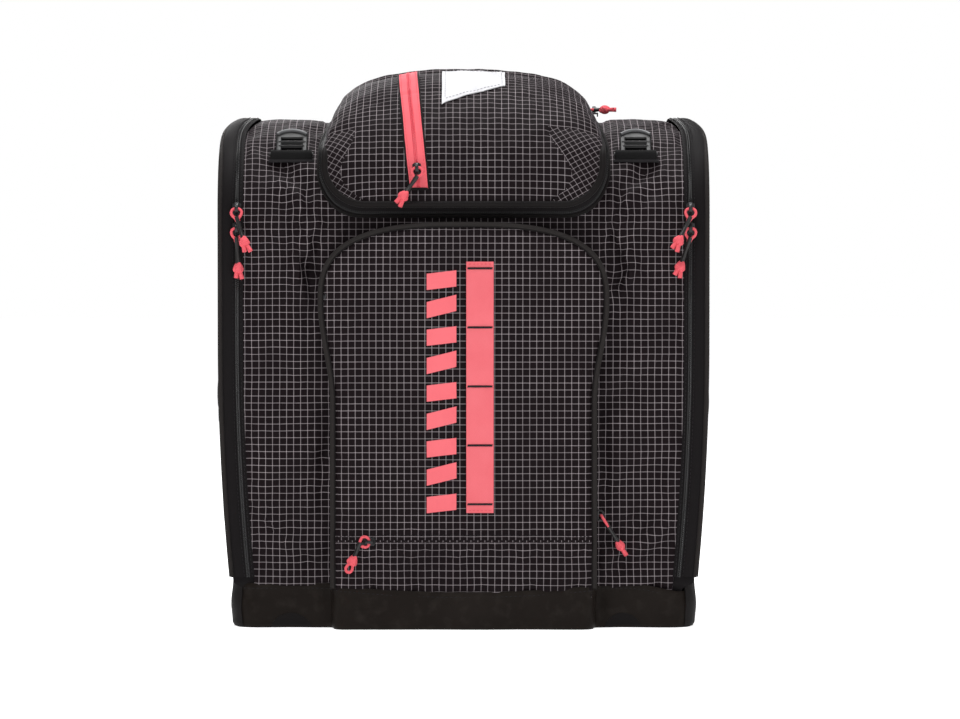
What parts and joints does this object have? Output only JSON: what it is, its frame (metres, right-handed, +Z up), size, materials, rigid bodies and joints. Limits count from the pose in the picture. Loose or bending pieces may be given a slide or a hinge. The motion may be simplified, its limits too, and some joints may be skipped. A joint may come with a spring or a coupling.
{
  "type": "ski boot bag",
  "caption": "Upright backpack for ski boots: a zip-out boot compartment on each side, a helmet compartment between them under a domed lid, an arched front pocket and a wipe-clean base.",
  "frame": {"origin": "on the ground, under the middle of the body", "axes": "+Z up, the front pocket faces -Y, the shoulder straps face +Y, +X is the wearer's right"},
  "size_m": [0.45, 0.3735, 0.5112],
  "materials": {
    "ripstop": "near-black ripstop cloth with a pale grid",
    "black_cloth": "plain black woven cloth",
    "tarpaulin": "coated tarpaulin, charcoal brown",
    "zip_black": "black nylon coil on woven tape",
    "coral": "coral woven nylon",
    "webbing": "black woven nylon webbing",
    "piping": "dark grey corded piping",
    "mesh": "black spacer mesh over foam",
    "moulded": "moulded black acetal",
    "slider": "black painted zinc",
    "stiffener": "plain stiffening sheet",
    "patch": "pale reflective cloth"
  },
  "bodies": {
    "bag_body": {"base_tray": "tarpaulin", "base_board": "stiffener", "drain_grommets": "slider", "left_gusset": "ripstop", "right_gusset": "ripstop", "centre_front_panel": "ripstop", "dividers": "black_cloth", "back_panel": "black_cloth", "frame_sheet": "stiffener", "back_pads": "mesh", "front_pocket": "ripstop", "front_pocket_piping": "piping", "gear_loops": "coral", "left_door_zipper": "zip_black", "right_door_zipper": "zip_black", "lid_zipper": "zip_black", "front_pocket_zipper": "zip_black", "lower_pocket_zipper": "zip_black", "buckle_tabs": "webbing", "left_lower_webbing": "webbing", "right_lower_webbing": "webbing"},
    "lid": {"lid_shell": "ripstop", "lid_pocket_zipper": "coral", "lid_patch": "patch"},
    "left_door": {"left_door": "black_cloth"},
    "right_door": {"right_door": "black_cloth"},
    "left_upper_slider": {"left_upper_slider": "slider"},
    "left_upper_pull": {"left_upper_pull": "coral"},
    "left_lower_slider": {"left_lower_slider": "slider"},
    "left_lower_pull": {"left_lower_pull": "coral"},
    "right_upper_slider": {"right_upper_slider": "slider"},
    "right_upper_pull": {"right_upper_pull": "coral"},
    "right_lower_slider": {"right_lower_slider": "slider"},
    "right_lower_pull": {"right_lower_pull": "coral"},
    "lid_slider": {"lid_slider": "slider"},
    "lid_pull": {"lid_pull": "coral"},
    "lid_pocket_slider": {"lid_pocket_slider": "slider"},
    "lid_pocket_pull": {"lid_pocket_pull": "coral"},
    "front_pocket_slider": {"front_pocket_slider": "slider"},
    "front_pocket_pull": {"front_pocket_pull": "coral"},
    "lower_pocket_slider": {"lower_pocket_slider": "slider"},
    "lower_pocket_pull": {"lower_pocket_pull": "coral"},
    "left_ladder_buckle": {"left_ladder_buckle": "moulded"},
    "right_ladder_buckle": {"right_ladder_buckle": "moulded"},
    "haul_handle": {"haul_handle": "webbing"},
    "left_strap": {"left_shoulder_strap": "mesh", "left_strap_adjuster": "moulded", "chest_strap_left": "webbing", "chest_buckle_socket": "moulded"},
    "right_strap": {"right_shoulder_strap": "mesh", "right_strap_adjuster": "moulded", "chest_strap_right": "webbing"},
    "chest_plug": {"chest_buckle_plug": "moulded"},
    "left_hip": {"left_hip_wing": "mesh", "left_hip_webbing": "webbing", "hip_buckle_socket": "moulded"},
    "right_hip": {"right_hip_wing": "mesh", "right_hip_webbing": "webbing", "hip_buckle_plug": "moulded"}
  },
  "joints": [
    {"name": "lid_hinge", "type": "hinge", "parent": "bag_body", "child": "lid", "pos_m": [0, 0.12, 0.467], "axis": [-1, 0, 0], "range_deg": [0, 100]},
    {"name": "left_door_hinge", "type": "hinge", "parent": "bag_body", "child": "left_door", "pos_m": [-0.21484, 0, 0.046], "axis": [0, -1, 0], "range_deg": [0, 90]},
    {"name": "right_door_hinge", "type": "hinge", "parent": "bag_body", "child": "right_door", "pos_m": [0.21484, 0, 0.046], "axis": [0, 1, 0], "range_deg": [0, 90]},
    {"name": "left_upper_zip", "type": "hinge", "parent": "bag_body", "child": "left_upper_slider", "pos_m": [-0.2072, -0.078, 0.38], "axis": [-1, 0, 0], "range_deg": [0, 50]},
    {"name": "left_lower_zip", "type": "slide", "parent": "bag_body", "child": "left_lower_slider", "axis": [0, 0, -1], "range_m": [0, 0.29]},
    {"name": "left_upper_pull_swing", "type": "hinge", "parent": "left_upper_slider", "child": "left_upper_pull", "pos_m": [-0.2072, -0.1474, 0.384], "axis": [-1, 0, 0], "range_deg": [0, 80]},
    {"name": "left_lower_pull_swing", "type": "hinge", "parent": "left_lower_slider", "child": "left_lower_pull", "pos_m": [-0.2072, -0.1474, 0.366], "axis": [-1, 0, 0], "range_deg": [0, 45]},
    {"name": "right_upper_zip", "type": "hinge", "parent": "bag_body", "child": "right_upper_slider", "pos_m": [0.2072, -0.078, 0.38], "axis": [-1, 0, 0], "range_deg": [0, 50]},
    {"name": "right_lower_zip", "type": "slide", "parent": "bag_body", "child": "right_lower_slider", "axis": [0, 0, -1], "range_m": [0, 0.29]},
    {"name": "right_upper_pull_swing", "type": "hinge", "parent": "right_upper_slider", "child": "right_upper_pull", "pos_m": [0.2072, -0.1474, 0.384], "axis": [-1, 0, 0], "range_deg": [0, 80]},
    {"name": "right_lower_pull_swing", "type": "hinge", "parent": "right_lower_slider", "child": "right_lower_pull", "pos_m": [0.2072, -0.1474, 0.366], "axis": [-1, 0, 0], "range_deg": [0, 45]},
    {"name": "lid_zip", "type": "slide", "parent": "bag_body", "child": "lid_slider", "axis": [0, 1, 0], "range_m": [-0.03, 0.06]},
    {"name": "lid_pull_swing", "type": "hinge", "parent": "lid_slider", "child": "lid_pull", "pos_m": [0.1225, 0.03, 0.4754], "axis": [-1, 0, 0], "range_deg": [0, 160]},
    {"name": "lid_pocket_zip", "type": "hinge", "parent": "lid", "child": "lid_pocket_slider", "pos_m": [-0.039, -0.036, 0.388], "axis": [-0.9945, 0, -0.1045], "range_deg": [0, 58]},
    {"name": "lid_pocket_pull_swing", "type": "hinge", "parent": "lid_pocket_slider", "child": "lid_pocket_pull", "pos_m": [-0.04252, -0.16157, 0.42146], "axis": [-0.9945, 0, -0.1045], "range_deg": [0, 100]},
    {"name": "front_pocket_zip", "type": "slide", "parent": "bag_body", "child": "front_pocket_slider", "axis": [0, 0, 1], "range_m": [0, 0.095]},
    {"name": "front_pocket_pull_swing", "type": "hinge", "parent": "front_pocket_slider", "child": "front_pocket_pull", "pos_m": [0.1257, -0.1495, 0.104], "axis": [0, -1, 0], "range_deg": [-30, 90]},
    {"name": "lower_pocket_zip", "type": "slide", "parent": "bag_body", "child": "lower_pocket_slider", "axis": [1, 0, 0], "range_m": [0, 0.18]},
    {"name": "lower_pocket_pull_swing", "type": "hinge", "parent": "lower_pocket_slider", "child": "lower_pocket_pull", "pos_m": [-0.086, -0.1724, 0.081], "axis": [0, 0, 1], "range_deg": [0, 160]},
    {"name": "left_buckle_tilt", "type": "hinge", "parent": "bag_body", "child": "left_ladder_buckle", "pos_m": [-0.158, -0.11801, 0.43345], "axis": [1, 0, 0], "range_deg": [-10, 60]},
    {"name": "right_buckle_tilt", "type": "hinge", "parent": "bag_body", "child": "right_ladder_buckle", "pos_m": [0.158, -0.11801, 0.43345], "axis": [1, 0, 0], "range_deg": [-10, 60]},
    {"name": "haul_handle_lift", "type": "hinge", "parent": "bag_body", "child": "haul_handle", "pos_m": [0, 0.1515, 0.461], "axis": [1, 0, 0], "range_deg": [0, 60]},
    {"name": "left_strap_swing", "type": "hinge", "parent": "bag_body", "child": "left_strap", "pos_m": [0, 0.166, 0.433], "axis": [1, 0, 0], "range_deg": [0, 25], "deforming": ["left_lower_webbing"]},
    {"name": "right_strap_swing", "type": "hinge", "parent": "bag_body", "child": "right_strap", "pos_m": [0, 0.166, 0.433], "axis": [1, 0, 0], "range_deg": [0, 25], "deforming": ["right_lower_webbing"]},
    {"name": "chest_plug_release", "type": "slide", "parent": "right_strap", "child": "chest_plug", "axis": [1, 0, 0], "range_m": [0, 0.02]},
    {"name": "left_hip_swing", "type": "hinge", "parent": "bag_body", "child": "left_hip", "pos_m": [-0.058, 0.162, 0.076], "axis": [0, 0, -1], "range_deg": [0, 80]},
    {"name": "right_hip_swing", "type": "hinge", "parent": "bag_body", "child": "right_hip", "pos_m": [0.058, 0.162, 0.076], "axis": [0, 0, 1], "range_deg": [0, 80]}
  ],
  "couplings": [
    {"joint": "right_strap_swing", "follows": "left_strap_swing", "ratio": 1}
  ]
}
